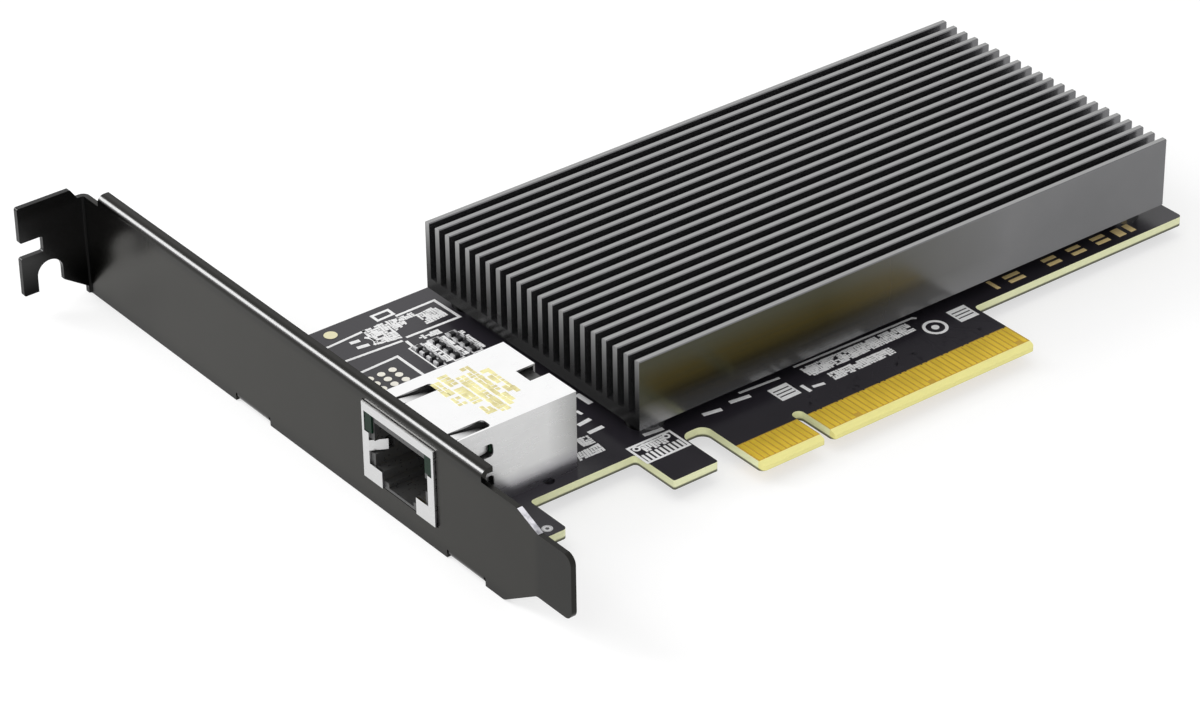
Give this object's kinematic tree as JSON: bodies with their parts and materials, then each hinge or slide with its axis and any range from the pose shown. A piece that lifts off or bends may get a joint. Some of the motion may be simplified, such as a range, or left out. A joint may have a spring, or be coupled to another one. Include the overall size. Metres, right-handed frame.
{
  "type": "network interface card",
  "caption": "Expansion-slot network card: keyed board with gold edge fingers, long finned heat sink, shielded jack and folded full-height bracket.",
  "frame": {"origin": "on the key notch's centreline, at the edge connector's leading edge, in the middle of the board's thickness", "axes": "+X along the board, away from the bracket; +Y from the connector to the board's top edge; +Z out of the component side"},
  "size_m": [0.1504, 0.12, 0.0184],
  "materials": {
    "circuit_board": "black solder mask on glass-epoxy laminate",
    "gold_plating": "gold plated",
    "bracket": "satin black",
    "screws": "nickel plated",
    "heat_sink": "black anodised",
    "washers": "matt fibre",
    "chip_package": "moulded epoxy",
    "thermal_pad": "soft silicone",
    "shield": "bright nickel plated",
    "jack_plastic": "moulded black",
    "indicator_window": "clear tinted",
    "indicator_lamp": "clear tinted",
    "tinned_metal": "tin plated",
    "solder": "bright solder",
    "capacitor_ceramic": "matt",
    "resistor_ceramic": "matt glaze",
    "inductor_body": "pressed powder",
    "bulk_capacitor": "moulded"
  },
  "bodies": {
    "root": {"circuit_board": "circuit_board", "edge_fingers_top": "gold_plating", "edge_fingers_bottom": "gold_plating", "bracket": "bracket", "bracket_screws": "screws", "heat_sink": "heat_sink", "heat_sink_screws": "screws", "heat_sink_washers": "washers", "controller_chip": "chip_package", "thermal_pad": "thermal_pad", "jack_shield": "shield", "jack_housing": "jack_plastic", "jack_contacts": "gold_plating", "indicator_window_left": "indicator_window", "indicator_window_right": "indicator_window", "indicator_lamps": "indicator_lamp", "transformer_case": "jack_plastic", "jack_pins": "tinned_metal", "solder_joints": "solder", "ring_capacitor_bodies": "capacitor_ceramic", "ring_capacitor_ends": "tinned_metal", "network_resistor_bodies": "resistor_ceramic", "network_resistor_ends": "tinned_metal", "under_capacitor_bodies": "capacitor_ceramic", "under_capacitor_ends": "tinned_metal", "power_inductors": "inductor_body", "regulators": "chip_package", "bulk_capacitors": "bulk_capacitor", "crystal": "tinned_metal", "flash_chip": "chip_package", "flash_leads": "tinned_metal", "header_pads": "solder", "fiducial_marks": "gold_plating"}
  },
  "joints": []
}
